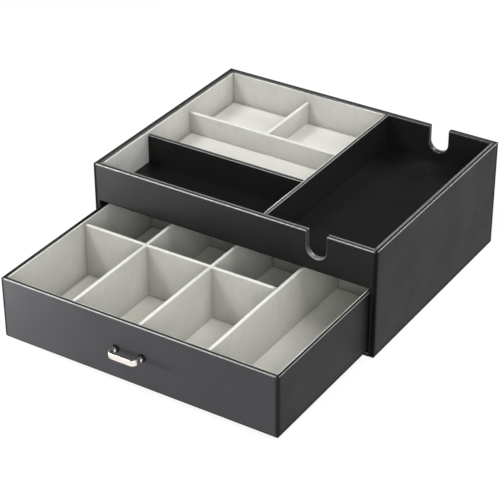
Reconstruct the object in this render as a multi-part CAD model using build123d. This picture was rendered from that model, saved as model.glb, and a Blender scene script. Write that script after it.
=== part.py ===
from build123d import *
import os

# Valet box with a drawer, in millimetres. The origin is the middle of the casing's underside on the table,
# +X points to the right, -Y to the front and +Z up. The drawer is drawn pulled out by rest_opening.

# Materials in sheets
leather = 0.5
case_board = 4.5
partition_board = 2.2
divider_board = 3.5
shelf_board_thickness = 3.5
base_board_thickness = 3.0
felt_thickness = 0.6
lining = 1.2
floor_lining = 1.4
phone_pad_thickness = 1.0

# Casing
case_width = 282.0
case_depth = 221.0
case_height = 103.6
fascia_height = 36.5
felt_inset = 1.5
base_lip = 10.0

# Trays in the top of the casing
phone_tray_width = 101.9
glasses_tray_depth = 67.5
watch_tray_depth = 62.0
key_tray_width = 80.7
tray_divider_thickness = 3.4
glasses_divider_drop = 3.6
tray_divider_drop = 9.6
lining_drop = 1.0

# Cable notches in the front and the back wall of the phone tray
notch_width = 18.6
notch_depth = 24.0

# Drawer
rest_opening = 140.0
drawer_side_gap = 1.0
drawer_back_gap = 2.0
drawer_top_gap = 3.9
drawer_side_board = 2.0
drawer_end_board = 2.8
drawer_bottom_board_thickness = 2.5
drawer_lining = 1.0
drawer_sheet = 0.5
drawer_sheet_inset = 1.0
drawer_divider_thickness = 3.4
drawer_divider_drop = 3.0
drawer_columns = 4
front_row_depth = 104.5
lap_clearance = 0.1

# Glide strips on the base, under the drawer's two sides
glide_thickness = 1.0
glide_gap = 0.3
glide_width = 14.0
glide_side_inset = 6.0
glide_end_inset = 3.0

# Bow pull on the drawer's front
pull_centres = 26.0
pull_offset = -6.5
pull_projection = 12.0
pull_bar_height = 5.4
pull_bar_thickness = 2.6
pull_bend = 5.0
pull_post_radius = 2.2
pull_post_length = 4.0
pull_edge_round = 0.9
collar_radius = 3.6
collar_thickness = 1.2
collar_clearance = 0.1
screw_radius = 1.25
screw_head_radius = 2.4
screw_head_height = 1.2
screw_hole_clearance = 0.25
screw_thread_clearance = 0.05
screw_depth_in_post = 4.5

# Rounding of a wrapped edge, and of a folded suede edge as a share of its sheet
edge_round = 2.0 * leather
fold_round_share = 0.42

# Thickness of the wrapped walls
case_wall = case_board + 2 * leather
partition_wall = partition_board + 2 * leather
glasses_divider_wall = divider_board + 2 * leather
drawer_side_wall = drawer_side_board + 2 * leather
drawer_end_wall = drawer_end_board + 2 * leather

# Levels of the casing
base_bottom = felt_thickness
base_top = base_bottom + base_board_thickness
fascia_bottom = case_height - fascia_height
shelf_bottom = fascia_bottom + leather
shelf_top = shelf_bottom + shelf_board_thickness
tray_floor = shelf_top + floor_lining
tray_lining_top = case_height - lining_drop
tray_divider_top = case_height - tray_divider_drop

# Faces of the casing
case_front = -case_depth / 2
case_back = case_depth / 2
half_width = case_width / 2
inner_half_width = half_width - case_wall
inner_front = case_front + case_wall
inner_back = case_back - case_wall

# Partition between the lined trays and the phone tray
partition_right = inner_half_width - phone_tray_width
partition_left = partition_right - partition_wall
tray_left = -inner_half_width + lining
tray_right = partition_left - lining
tray_back = inner_back - lining
notch_x = (partition_right + inner_half_width) / 2
notch_radius = notch_width / 2
notch_bottom = case_height - notch_depth

# Dividers of the trays
glasses_divider_front = inner_front + glasses_tray_depth
glasses_divider_back = glasses_divider_front + glasses_divider_wall
cross_divider_front = glasses_divider_back + watch_tray_depth
cross_divider_back = cross_divider_front + tray_divider_thickness
short_divider_left = tray_left + key_tray_width
short_divider_right = short_divider_left + tray_divider_thickness

# Drawer's outside at rest
drawer_bottom = base_top + glide_thickness + glide_gap
drawer_walls_bottom = drawer_bottom + drawer_sheet
drawer_top = fascia_bottom - drawer_top_gap
drawer_half_width = inner_half_width - drawer_side_gap
drawer_front = case_front - rest_opening
drawer_back = inner_back - drawer_back_gap - rest_opening

# Drawer's inside at rest
drawer_inner_half = drawer_half_width - drawer_side_wall
drawer_inner_front = drawer_front + drawer_end_wall
drawer_inner_back = drawer_back - drawer_end_wall
drawer_board_top = drawer_walls_bottom + drawer_bottom_board_thickness
drawer_floor = drawer_board_top + drawer_lining
drawer_lining_top = drawer_top - lining_drop
lined_half = drawer_inner_half - drawer_lining
lined_front = drawer_inner_front + drawer_lining
lined_back = drawer_inner_back - drawer_lining
drawer_divider_top = drawer_top - drawer_divider_drop
drawer_lap = (drawer_floor + drawer_divider_top) / 2
column_pitch = (2 * lined_half + drawer_divider_thickness) / drawer_columns
drawer_cross_front = lined_front + front_row_depth
drawer_cross_back = drawer_cross_front + drawer_divider_thickness

# Pull
pull_z = (drawer_walls_bottom + drawer_top) / 2
pull_left = pull_offset - pull_centres / 2
pull_right = pull_offset + pull_centres / 2


def block(x0, x1, y0, y1, z0, z1):
    """A plain box between two corners."""
    centre = Pos((x0 + x1) / 2, (y0 + y1) / 2, (z0 + z1) / 2)
    return centre * Box(x1 - x0, y1 - y0, z1 - z0)


def rod(x, y0, y1, z, radius):
    """A round bar along Y."""
    return Pos(x, (y0 + y1) / 2, z) * Rot(90, 0, 0) * Cylinder(radius, y1 - y0)


def notch_tool(y0, y1, radius):
    """The U that is cut down from the rim: a round bottom with straight sides above it."""
    middle = notch_bottom + notch_radius
    above = case_height + notch_radius
    return rod(notch_x, y0, y1, middle, radius) + block(
        notch_x - radius, notch_x + radius, y0, y1, middle, above)


def wrapped_panel(x0, x1, y0, y1, z0, z1):
    """A board and the leather round all its faces, with soft edges outside."""
    board = block(x0 + leather, x1 - leather, y0 + leather, y1 - leather, z0 + leather, z1 - leather)
    outside = block(x0, x1, y0, y1, z0, z1)
    return board, fillet(outside.edges(), edge_round) - board


def wrapped_end(half, side_wall, y_outer, inward, board_thickness, z0, z1, board_z0, cuts, board_cuts):
    """A board between two side walls, and its leather, which also covers the side walls' ends."""
    wall = board_thickness + 2 * leather
    faces = sorted((y_outer, y_outer + inward * wall))
    slab = block(-half, half, faces[0], faces[1], z0, z1)
    for cut in cuts:
        slab = slab - cut
    slab = fillet(slab.edges(), edge_round)
    ends = sorted((y_outer + inward * leather, y_outer + inward * (wall + edge_round)))
    for side in (-1, 1):
        across = sorted((side * (half - side_wall), side * (half + edge_round)))
        slab = slab - block(across[0], across[1], ends[0], ends[1], z0 - edge_round, z1 + edge_round)
    board = block(
        -half + side_wall, half - side_wall, faces[0] + leather, faces[1] - leather, board_z0, z1 - leather)
    for cut in board_cuts:
        board = board - cut
    return board, slab - board


def suede_sheet(x0, x1, y0, y1, z0, z1):
    """A lined card sheet on edge, with its folded top edge rounded."""
    sheet = block(x0, x1, y0, y1, z0, z1)
    along = Axis.X if x1 - x0 > y1 - y0 else Axis.Y
    top_edges = sheet.edges().filter_by(along).group_by(Axis.Z)[-1]
    return fillet(top_edges, fold_round_share * min(x1 - x0, y1 - y0))


def casing_sides():
    """Left and right walls, from the felt to the rim."""
    pieces = {}
    for name, side in (("left", -1), ("right", 1)):
        across = sorted((side * half_width, side * inner_half_width))
        board, cover = wrapped_panel(
            across[0], across[1], case_front + leather, case_back - leather, base_bottom, case_height)
        pieces[name + "_side_board"] = board
        pieces[name + "_side_cover"] = cover
    return pieces


def casing_ends():
    """Front fascia over the drawer's opening, and the full back wall, each with a cable notch."""
    reach = case_wall + edge_round
    opening = block(
        -inner_half_width, inner_half_width, case_front - reach, case_front + reach,
        base_bottom - edge_round, fascia_bottom)
    front_notch = notch_tool(case_front - reach, case_front + reach, notch_radius)
    front_board_notch = notch_tool(case_front - reach, case_front + reach, notch_radius + leather)
    back_notch = notch_tool(case_back - reach, case_back + reach, notch_radius)
    back_board_notch = notch_tool(case_back - reach, case_back + reach, notch_radius + leather)
    fascia, fascia_cover = wrapped_end(
        half_width, case_wall, case_front, 1, case_board, base_bottom, case_height, shelf_bottom,
        [opening, front_notch], [front_board_notch])
    back, back_cover = wrapped_end(
        half_width, case_wall, case_back, -1, case_board, base_bottom, case_height, base_bottom + leather,
        [back_notch], [back_board_notch])
    return {
        "front_fascia_board": fascia,
        "front_cover": fascia_cover,
        "back_board": back,
        "back_cover": back_cover,
    }


def casing_floors():
    """Felt, base board with its wrapped front edge, glide strips, and the shelf over the drawer."""
    felt = block(
        -half_width + felt_inset, half_width - felt_inset, case_front + felt_inset, case_back - felt_inset,
        0, felt_thickness)
    base = block(
        -inner_half_width, inner_half_width, case_front + leather, inner_back, base_bottom, base_top)
    strip = block(
        -inner_half_width, inner_half_width, case_front, case_front + base_lip,
        base_bottom, base_top + leather)
    nose = strip.edges().filter_by(Axis.X).group_by(Axis.Y)[0]
    strip = fillet(nose, edge_round / 2) - base
    strip_back = case_front + base_lip
    glides = []
    for side in (-1, 1):
        outer = side * (inner_half_width - glide_side_inset)
        across = sorted((outer, outer - side * glide_width))
        glides.append(block(
            across[0], across[1], strip_back + glide_end_inset, inner_back - glide_end_inset,
            base_top, base_top + glide_thickness))
    shelf = block(-inner_half_width, inner_half_width, inner_front, inner_back, shelf_bottom, shelf_top)
    return {
        "base_felt": felt,
        "base_board": base,
        "base_edge_cover": strip,
        "drawer_glide_strips": glides[0] + glides[1],
        "shelf_board": shelf,
    }


def partition():
    """The leather wall between the lined trays and the phone tray."""
    board, cover = wrapped_panel(
        partition_left, partition_right, inner_front, inner_back, shelf_top, case_height)
    return {"partition_board": board, "partition_cover": cover}


def tray_linings():
    """Suede on the walls and the floor of the lined trays, and the leather pads of the other two."""
    left = suede_sheet(-inner_half_width, tray_left, inner_front, inner_back, shelf_top, tray_lining_top)
    right = suede_sheet(tray_right, partition_left, inner_front, inner_back, shelf_top, tray_lining_top)
    back = suede_sheet(tray_left, tray_right, tray_back, inner_back, shelf_top, tray_lining_top)
    floor = block(tray_left, tray_right, glasses_divider_back, tray_back, shelf_top, tray_floor)
    glasses = block(tray_left, tray_right, inner_front, glasses_divider_front, shelf_top, tray_floor)
    phone = block(
        partition_right, inner_half_width, inner_front, inner_back,
        shelf_top, shelf_top + phone_pad_thickness)
    return {
        "left_wall_lining": left,
        "partition_lining": right,
        "back_wall_lining": back,
        "tray_floor_lining": floor,
        "glasses_floor_pad": glasses,
        "phone_tray_pad": phone,
    }


def tray_dividers():
    """The leather divider behind the glasses tray, and the two suede ones that make the small trays."""
    board, cover = wrapped_panel(
        tray_left, tray_right, glasses_divider_front, glasses_divider_back,
        shelf_top, case_height - glasses_divider_drop)
    cross = suede_sheet(
        tray_left, tray_right, cross_divider_front, cross_divider_back, tray_floor, tray_divider_top)
    short = suede_sheet(
        short_divider_left, short_divider_right, cross_divider_back, tray_back,
        tray_floor, tray_divider_top)
    return {
        "glasses_divider_board": board,
        "glasses_divider_cover": cover,
        "tray_cross_divider": cross,
        "tray_short_divider": short,
    }


def drawer_walls():
    """The drawer's four wrapped walls. The front one has the two screw holes of the pull."""
    pieces = {}
    for name, side in (("left", -1), ("right", 1)):
        across = sorted((side * drawer_half_width, side * drawer_inner_half))
        board, cover = wrapped_panel(
            across[0], across[1], drawer_front + leather, drawer_back - leather,
            drawer_walls_bottom, drawer_top)
        pieces["drawer_" + name + "_board"] = board
        pieces["drawer_" + name + "_cover"] = cover
    for name, y_outer, inward in (("front", drawer_front, 1), ("back", drawer_back, -1)):
        board, cover = wrapped_end(
            drawer_half_width, drawer_side_wall, y_outer, inward, drawer_end_board,
            drawer_walls_bottom, drawer_top, drawer_walls_bottom + leather, [], [])
        pieces["drawer_" + name + "_board"] = board
        pieces["drawer_" + name + "_cover"] = cover
    for name in ("drawer_front_board", "drawer_front_cover"):
        for x in (pull_left, pull_right):
            pieces[name] = pieces[name] - screw_hole(x)
    return pieces


def screw_hole(x):
    """A through hole with a pocket for the screw's head, open to the inside of the drawer."""
    through = rod(x, drawer_front - edge_round, drawer_inner_front + edge_round, pull_z,
                  screw_radius + screw_hole_clearance)
    pocket_front = drawer_inner_front - screw_head_height
    pocket = rod(x, pocket_front, drawer_inner_front + edge_round, pull_z,
                 screw_head_radius + screw_hole_clearance)
    return through + pocket


def drawer_floors():
    """The drawer's bottom board between its walls, and the thin sheet glued under everything."""
    board = block(
        -drawer_inner_half, drawer_inner_half, drawer_inner_front, drawer_inner_back,
        drawer_walls_bottom, drawer_board_top)
    sheet = block(
        -drawer_half_width + drawer_sheet_inset, drawer_half_width - drawer_sheet_inset,
        drawer_front + drawer_sheet_inset, drawer_back - drawer_sheet_inset,
        drawer_bottom, drawer_walls_bottom)
    return {"drawer_bottom_board": board, "drawer_underside_sheet": sheet}


def drawer_linings():
    """Suede on the drawer's floor and four walls."""
    left = suede_sheet(
        -drawer_inner_half, -lined_half, drawer_inner_front, drawer_inner_back,
        drawer_board_top, drawer_lining_top)
    right = suede_sheet(
        lined_half, drawer_inner_half, drawer_inner_front, drawer_inner_back,
        drawer_board_top, drawer_lining_top)
    front = suede_sheet(
        -lined_half, lined_half, drawer_inner_front, lined_front, drawer_board_top, drawer_lining_top)
    back = suede_sheet(
        -lined_half, lined_half, lined_back, drawer_inner_back, drawer_board_top, drawer_lining_top)
    floor = block(-lined_half, lined_half, lined_front, lined_back, drawer_board_top, drawer_floor)
    return {
        "drawer_left_lining": left,
        "drawer_right_lining": right,
        "drawer_front_lining": front,
        "drawer_back_lining": back,
        "drawer_floor_lining": floor,
    }


def long_divider_left(index):
    """The left face of the drawer's long divider with this number, from 1 at the left."""
    return -lined_half + index * column_pitch - drawer_divider_thickness


def drawer_dividers():
    """Long dividers from front to back, and one across that laps with all but the last of them."""
    pieces = {}
    last = drawer_columns - 1
    cross = suede_sheet(
        -lined_half, long_divider_left(last), drawer_cross_front, drawer_cross_back,
        drawer_floor, drawer_divider_top)
    for index in range(1, drawer_columns):
        left = long_divider_left(index)
        right = left + drawer_divider_thickness
        long = suede_sheet(left, right, lined_front, lined_back, drawer_floor, drawer_divider_top)
        if index < last:
            long = long - block(
                left, right, drawer_cross_front - lap_clearance, drawer_cross_back + lap_clearance,
                drawer_lap, drawer_top)
            cross = cross - block(
                left - lap_clearance, right + lap_clearance, drawer_cross_front, drawer_cross_back,
                drawer_bottom, drawer_lap)
        pieces["drawer_long_divider_" + str(index)] = long
    pieces["drawer_cross_divider"] = cross
    return pieces


def pull():
    """A bow pull of flat bar on two round posts, with a collar at each post and a screw from inside."""
    centre_line = drawer_front - pull_projection + pull_bar_thickness / 2
    corners = [
        (pull_left, drawer_front - collar_thickness, pull_z),
        (pull_left, centre_line, pull_z),
        (pull_right, centre_line, pull_z),
        (pull_right, drawer_front - collar_thickness, pull_z),
    ]
    path = FilletPolyline(*corners, radius=pull_bend)
    start = Plane(origin=corners[0], x_dir=(1, 0, 0), z_dir=(0, -1, 0))
    section = start * RectangleRounded(pull_bar_thickness, pull_bar_height, pull_edge_round)
    bow = sweep(section, path=path)
    collars = []
    screws = []
    for x in (pull_left, pull_right):
        bow = bow + rod(x, drawer_front - pull_post_length, drawer_front, pull_z, pull_post_radius)
        hole_radius = screw_radius + screw_thread_clearance
        bow = bow - rod(x, drawer_front - screw_depth_in_post, drawer_front, pull_z, hole_radius)
        disc = rod(x, drawer_front - collar_thickness, drawer_front, pull_z, collar_radius)
        rim = disc.edges().filter_by(GeomType.CIRCLE).group_by(Axis.Y)[0]
        disc = fillet(rim, collar_thickness / 2)
        bore_radius = pull_post_radius + collar_clearance
        bore = rod(x, drawer_front - collar_thickness, drawer_front, pull_z, bore_radius)
        collars.append(disc - bore)
        head_front = drawer_inner_front - screw_head_height
        shank = rod(x, drawer_front - screw_depth_in_post + screw_thread_clearance, head_front, pull_z,
                    screw_radius)
        screws.append(shank + rod(x, head_front, drawer_inner_front, pull_z, screw_head_radius))
    return {
        "pull_handle": bow,
        "pull_collars": collars[0] + collars[1],
        "pull_screws": screws[0] + screws[1],
    }


def build():
    """Every piece, by the name of its node."""
    pieces = {}
    pieces.update(casing_sides())
    pieces.update(casing_ends())
    pieces.update(casing_floors())
    pieces.update(partition())
    pieces.update(tray_linings())
    pieces.update(tray_dividers())
    pieces.update(drawer_walls())
    pieces.update(drawer_floors())
    pieces.update(drawer_linings())
    pieces.update(drawer_dividers())
    pieces.update(pull())
    return pieces


os.makedirs("parts", exist_ok=True)
for name, piece in build().items():
    export_step(piece, "parts/" + name + ".step")
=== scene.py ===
"""The looks of a valet box with a drawer: leather walls, suede linings and dividers, and a nickel bow pull.

Each new piece is a surface worked out on a grid of two parameters and placed by the boxes of the frame's nodes.
Lengths are in metres, +Z is up and -Y points to the front.
"""

import math

import bpy
import numpy as np
from bpy.props import FloatProperty, FloatVectorProperty, PointerProperty
from mathutils import Matrix, Vector


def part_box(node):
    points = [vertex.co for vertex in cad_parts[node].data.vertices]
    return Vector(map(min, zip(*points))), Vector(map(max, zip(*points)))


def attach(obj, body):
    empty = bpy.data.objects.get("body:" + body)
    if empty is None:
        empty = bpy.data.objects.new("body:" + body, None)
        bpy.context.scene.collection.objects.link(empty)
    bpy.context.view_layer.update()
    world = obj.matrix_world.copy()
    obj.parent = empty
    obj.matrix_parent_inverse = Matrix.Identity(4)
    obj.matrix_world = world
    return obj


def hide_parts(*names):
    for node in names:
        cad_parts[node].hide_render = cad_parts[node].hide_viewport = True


bl_info = {
    "name": "Valet Box Finish",
    "version": (1, 0, 0),
    "blender": (4, 5, 0),
    "location": "View3D > Sidebar > Valet Box",
    "description": "Wraps the frame of a valet box in leather and suede, and sets it on a pale stage",
    "category": "Object",
}

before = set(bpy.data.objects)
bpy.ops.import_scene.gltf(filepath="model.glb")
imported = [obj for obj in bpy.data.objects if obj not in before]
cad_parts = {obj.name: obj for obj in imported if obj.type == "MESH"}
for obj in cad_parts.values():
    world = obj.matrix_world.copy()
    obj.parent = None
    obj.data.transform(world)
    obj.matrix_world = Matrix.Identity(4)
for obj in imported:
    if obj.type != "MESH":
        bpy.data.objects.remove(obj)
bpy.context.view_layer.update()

MM = 0.001
X, Y, Z = range(3)


def length(name, description, default):
    """A property that holds a length in metres."""
    return FloatProperty(
        name=name, description=description, default=default, min=0.0, unit="LENGTH", subtype="DISTANCE")


def angle(name, description, degrees):
    """A property that holds an angle."""
    return FloatProperty(name=name, description=description, default=math.radians(degrees), subtype="ANGLE")


def colour(name, description, default):
    """A property that holds a linear colour."""
    return FloatVectorProperty(
        name=name, description=description, default=default, size=3, min=0.0, max=1.0, subtype="COLOR")


def share(name, description, default):
    """A property that holds a share from 0 to 1."""
    return FloatProperty(
        name=name, description=description, default=default, min=0.0, max=1.0, subtype="FACTOR")


class ValetBoxShape(bpy.types.PropertyGroup):
    """Sizes of the box that its look depends on."""

    wrap_round: length("Wrapped edge", "Radius of the leather's edges on the walls", 1.0 * MM)
    seam_round: length("Corner seam", "How far a wall's end turns in at its corner seam", 0.4 * MM)
    rim_crown: length("Rim crown", "How far the middle of a wall's top stands over its edges", 0.3 * MM)
    notch_width: length("Notch width", "Width of the cable notches", 18.6 * MM)
    notch_depth: length("Notch depth", "Depth of the cable notches from the rim", 24.0 * MM)
    notch_mouth: length("Notch mouth", "Radius of a notch's upper corners, beyond the wrapped edge", 0.1 * MM)
    pucker: length("Puckers", "Height of the leather's folds round a notch", 0.42 * MM)
    suede_round: length("Suede edge", "Radius of the folded edge of a suede sheet", 0.5 * MM)
    suede_wave: length("Suede waves", "Height of the gentle waves of a suede sheet", 0.10 * MM)
    pad_crown: length("Pad crown", "How far a tray's pad rises in its middle", 0.35 * MM)
    bar_thickness: length("Pull bar thickness", "Thickness of the pull's bar", 2.6 * MM)
    bar_bend: length("Pull bend", "Radius of the pull's two bends, at the middle of the bar", 4.2 * MM)


class ValetBoxFinish(bpy.types.PropertyGroup):
    """Colours and textures of the materials."""

    case_leather: colour("Casing leather", "Leather of the casing", (0.0105, 0.0108, 0.0106))
    # The drawer front's leather is the casing leather painted lighter and a little bluer, for the stronger light
    # on the drawer front
    drawer_leather: colour("Drawer leather", "Leather of the drawer", (0.0350, 0.0357, 0.0390))
    pad_leather: colour("Pad leather", "Leather of the two dark tray floors", (0.0085, 0.0088, 0.0088))
    suede: colour("Suede", "Suede of the linings and dividers", (0.64, 0.635, 0.596))
    # The colour of the painted highlight on the leather's upper edges
    painted_highlight_leather: colour("Leather edge", "Leather where its edges are rubbed", (0.45, 0.45, 0.44))
    nickel: colour("Nickel", "Polished plate of the pull", (0.86, 0.80, 0.755))
    # The collars' plate is painted near black, for the dark leather that they reflect
    collar_nickel: colour("Collar nickel", "Black plate of the pull's collars", (0.012, 0.012, 0.013))
    grain_size: length("Grain", "Size of the leather's grain", 0.75 * MM)
    nap_size: length("Nap", "Size of the suede's nap", 0.35 * MM)
    # How strong the painted highlight on the leather's upper edges is
    painted_highlight_amount: share("Edge wear", "How much the leather's edges are rubbed", 0.9)


class ValetBoxStage(bpy.types.PropertyGroup):
    """Camera, floor and lamps."""

    azimuth: angle("Azimuth", "Camera's turn to the right of the front", 32.494)
    elevation: angle("Elevation", "Camera's height above the horizon", 31.563)
    roll: angle("Roll", "Camera's turn about its own axis", -0.261)
    distance: length("Distance", "From the camera to the aimed point", 1697.3 * MM)
    target: FloatVectorProperty(
        name="Aimed point", description="Point in the middle of the picture",
        default=(-36.4 * MM, -21.5 * MM, 2.3 * MM), size=3, subtype="XYZ", unit="LENGTH")
    lens: FloatProperty(
        name="Lens", description="Focal length in millimetres on a 36 mm sensor", default=134.86)
    floor_grey: share("Floor", "Paleness of the floor", 0.80)
    horizon_grey: share("Horizon", "Light of the surroundings at the horizon", 1.0)
    ceiling_grey: share("Ceiling", "Light of the surroundings overhead", 0.07)


# Grids and meshes

# What each point of a piece knows of its place: how much it lies on an upper edge, which gets a painted highlight
# on leather and wear on nickel, on the top of a wall, which gets coat gloss and a painted tone, and how much
# painted shade it gets in a crease, a corner, a seam or at a lower edge
MARKS = ("edge", "rim", "crease_and_painted_shade")
EDGE, RIM, PAINTED_SHADE = range(3)

# How much painted highlight the outer and the inner edge of each wall's top get
PAINTED_HIGHLIGHT = {
    "front": (1.0, 0.62),
    "right_side": (1.0, 0.62),
    "back": (0.4, 0.16),
    "left_side": (0.28, 0.1),
    "partition": (1.0, 0.4),
    "glasses_divider": (0.8, 0.5),
    "drawer_front": (1.0, 0.0),
    "drawer_right": (0.9, 0.0),
    "drawer_left": (0.9, 0.0),
    "drawer_back": (0.4, 0.0),
}

# Points nearer than WELD are one. A flat row GUARD wide lies beside each rounded edge
WELD = 1e-7
GUARD = 0.2 * MM

# Steps of half a quarter turn of a block's edge, and the least number of places between, where close and elsewhere
HALF_BEND = 5
FINE, COARSE = 24, 6

# How many sine waves make an unevenness, and how long they are on a block
WAVES = 9
WAVE_SIZE = 45 * MM


def limited(value):
    """A value kept between 0 and 1."""
    return np.clip(value, 0, 1)


def bell(value, middle, width):
    """A bell curve: 1 at the middle, and e to the minus square of the distance from it in widths."""
    return np.exp(-(((value - middle) / width) ** 2))


def grid_quads(rows, columns, wrap=False):
    """Quads of a grid of points stored row by row. With wrap, the last column joins the first."""
    row, column = np.meshgrid(np.arange(rows - 1), np.arange(columns if wrap else columns - 1), indexing="ij")
    here, beside = row * columns + column, row * columns + (column + 1) % columns
    return np.stack([here, beside, beside + columns, here + columns], axis=-1).reshape(-1, 4)


def tube_quads(rows, ring):
    """Quads of closed rings stored one after another, with a lid of quads over the first and over the last."""
    near = np.arange(ring // 2 - 1)
    lid = np.stack([near, near + 1, ring - 2 - near, ring - 1 - near], axis=1)
    return np.concatenate([grid_quads(rows, ring, wrap=True), lid[:, ::-1], lid + (rows - 1) * ring])


def welded(points, quads, marks):
    """The same surface with points that coincide made one, so that seams are closed."""
    _, first, inverse = np.unique(np.round(points / WELD), axis=0, return_index=True, return_inverse=True)
    return points[first], inverse.ravel()[quads], marks[first]


def outward(points, quads):
    """The quads, turned over if the volume that they enclose comes out negative."""
    a, b, c, d = (points[quads[:, k]] for k in range(4))
    volume = np.einsum("ij,ij->", a, np.cross(b, c)) + np.einsum("ij,ij->", a, np.cross(c, d))
    return quads if volume > 0 else quads[:, ::-1]


def make_piece(name, surface, material, body, stands_for):
    """Adds a surface (points, quads, marks) as a smooth piece that rides on a body and stands for a CAD node."""
    points, quads, marks = surface
    mesh = bpy.data.meshes.new(name)
    mesh.from_pydata(points, [], outward(points, quads), shade_flat=False)
    for label, values in zip(MARKS, marks.T):
        mesh.attributes.new(label, "FLOAT", "POINT").data.foreach_set("value", values.astype(np.float32))
    mesh.materials.append(finish(material))
    mesh.validate()
    piece = bpy.data.objects.new(name, mesh)
    bpy.context.scene.collection.objects.link(piece)
    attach(piece, body)
    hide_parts(stands_for)
    return piece


def wrap(name, surface, body, material="Casing Leather"):
    """Makes a piece of leather that stands for a cover."""
    make_piece(name + "_leather", surface, material, body, name + "_cover")


def lay_suede(name, surface, body):
    """Makes a piece of suede, with painted shade in its corners, that stands for a lining or divider."""
    make_piece(name + "_suede", paint_corner_shade(name, surface), "Beige Suede", body, name)


def joined(*surfaces):
    """Several surfaces as one."""
    points, quads, marks = zip(*surfaces)
    starts = np.cumsum([0] + [len(own) for own in points])
    quads = [own + start for own, start in zip(quads, starts)]
    return np.concatenate(points), np.concatenate(quads), np.concatenate(marks)


def paint_shade(marks, crease_and_painted_shade):
    """Marks painted shade at least this strong."""
    marks[:, PAINTED_SHADE] = np.maximum(marks[:, PAINTED_SHADE], limited(crease_and_painted_shade))


def waves(points, height, size, seed):
    """Unevenness at each point: the mean of sine waves with random directions and phases, each about size long."""
    random = np.random.default_rng(seed)
    directions = random.normal(size=(WAVES, 3))
    directions /= np.linalg.norm(directions, axis=1, keepdims=True)
    rates = 2 * np.pi / (size * random.uniform(0.7, 1.8, WAVES))
    phases = random.uniform(0, 2 * np.pi, WAVES)
    return height * np.sin(points @ directions.T * rates + phases).sum(axis=1) / math.sqrt(WAVES)


def spaced(low, high, radius, step, least):
    """Places along a block's side: equal angles through each rounded end, a guard row, and even steps between."""
    rounding = radius * np.tan(np.linspace(0, np.pi / 4, HALF_BEND)[1:])
    start, end = low + radius, high - radius
    guard = min(GUARD, (end - start) / 4)
    count = max(least, int(math.ceil((end - start - 2 * guard) / step)) + 1)
    middle = np.linspace(start + guard, end - guard, count)
    return np.concatenate([start - rounding[::-1], [start], middle, [end], end + rounding])


def rounded_block(low, high, radii, step=4 * MM, wave=0.0, seed=0, fine=None):
    """A box with rounded edges, and with close places along one axis if it is given as fine.

    Each point p of the plain box goes to q + r * u, where q is the nearest point of the box shrunk by the radii r,
    and u is the direction from q to p, measured in radii, at length 1. Waves then move it along u.
    """
    low, high, radii = (np.array(value, float) for value in (low, high, radii))
    places = [spaced(low[k], high[k], radii[k], step, FINE if k == fine else COARSE) for k in range(3)]
    faces = []
    for axis in range(3):
        order = [(axis + 1) % 3, (axis + 2) % 3, axis]
        across, along = places[order[0]], places[order[1]]
        for level, way in ((low[axis], -1), (high[axis], 1)):
            face = np.stack(np.meshgrid(across, along, [level], indexing="ij"), axis=-1).reshape(-1, 3)
            face = face[:, np.argsort(order)]
            faces.append((face, grid_quads(len(across), len(along))[:, ::way], face))
    points, quads, _ = joined(*faces)
    inner = np.clip(points, low + radii, high - radii)
    direction = (points - inner) / radii
    direction /= np.linalg.norm(direction, axis=1, keepdims=True)
    upward = direction[:, Z]
    bent = limited((1 - np.abs(direction).max(axis=1)) / (1 - math.sqrt(0.5)))
    # Marks: a painted highlight on the upper rounded edges, the upward faces, and painted shade on the lower
    # rounded edges
    marks = np.stack([bent * limited(3 * upward), limited(2 * upward), bent * limited(-3 * upward)], axis=1)
    points = inner + radii * direction
    points += direction * waves(points, wave, WAVE_SIZE, seed)[:, None]
    return welded(points, quads, marks)


# Walls with cuts in their edges

# Steps of each quarter turn and straight side of a cut, and of a section's turn
TURN = 9
BEND = 7

# A cut's straight side runs on over LEAN, so that no two of its points share a time
LEAN = 1.5 * MM

# Each end of a wall turns in through CAP, in so many steps
CAP = math.radians(86)
CAP_STEPS = 5

# How far the painted shade of a corner seam reaches, how deep its groove is, and how high the painted shade of a
# lower edge goes
SEAM_SHADE = 2.2 * MM
GROOVE = 0.38 * MM
LOW_EDGE = 1.4 * MM

# Where the ridge and the crease of a wall's top lie and its inner band begins, in shares of the wall's thickness;
# the crease gets painted shade and the band a painted highlight
RIDGE = 0.44
CREASE_PLACE, CREASE_WIDTH = 0.33, 0.075
BAND_START, BAND_RISE = 0.42, 0.1

# How far the inner end of a side wall runs into the wall across it
TUCK = 0.6 * MM

# Folds in a full turn round a notch, two sets, and the distance over which they fall by e
FOLDS, FINER_FOLDS = 7, 12
FOLD_REACH = 7 * MM

# The thickness of a casing wall, which has the whole crown
CASE_WALL = 5.5 * MM

# Radii of a cut's lower corners and, beyond the wrapped edge, of its mouth, where it shows no round
CORNER, MOUTH = 0.1 * MM, 0.2 * MM


def cut_side(half_width, depth, corner, radius, mouth):
    """Left half of the line that runs one edge radius inside a wall round a cut, from the cut's middle.

    It is an arc of the mouth radius, a straight side and an arc of the corner radius plus the edge radius.
    Rows are time, across, depth, and the normal across and in depth, which points out of the wall. Time is the
    place across, except on the straight side, where it runs on over LEAN, so that each time is one point.
    """
    turn = np.linspace(0, np.pi / 2, TURN)
    side = np.linspace(0, 1, TURN)
    ones = np.ones(TURN)
    reach = half_width + radius
    bend = corner + radius
    mouth_top = radius + mouth
    over = [
        -reach - LEAN - (mouth + MM) * (1 - side), -reach - mouth + mouth * np.sin(turn),
        mouth_top - mouth * np.cos(turn), np.sin(turn), -np.cos(turn)]
    down = [
        -reach - LEAN * (1 - side), -reach * ones, mouth_top + (depth - corner - mouth_top) * side, ones, 0 * ones]
    under_across = -(half_width - corner) - bend * np.cos(turn)
    under = [under_across, under_across, depth - corner + bend * np.sin(turn), np.cos(turn), -np.sin(turn)]
    return np.concatenate([np.array(over), np.array(down)[:, 1:], np.array(under)[:, 1:]], axis=1)


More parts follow.
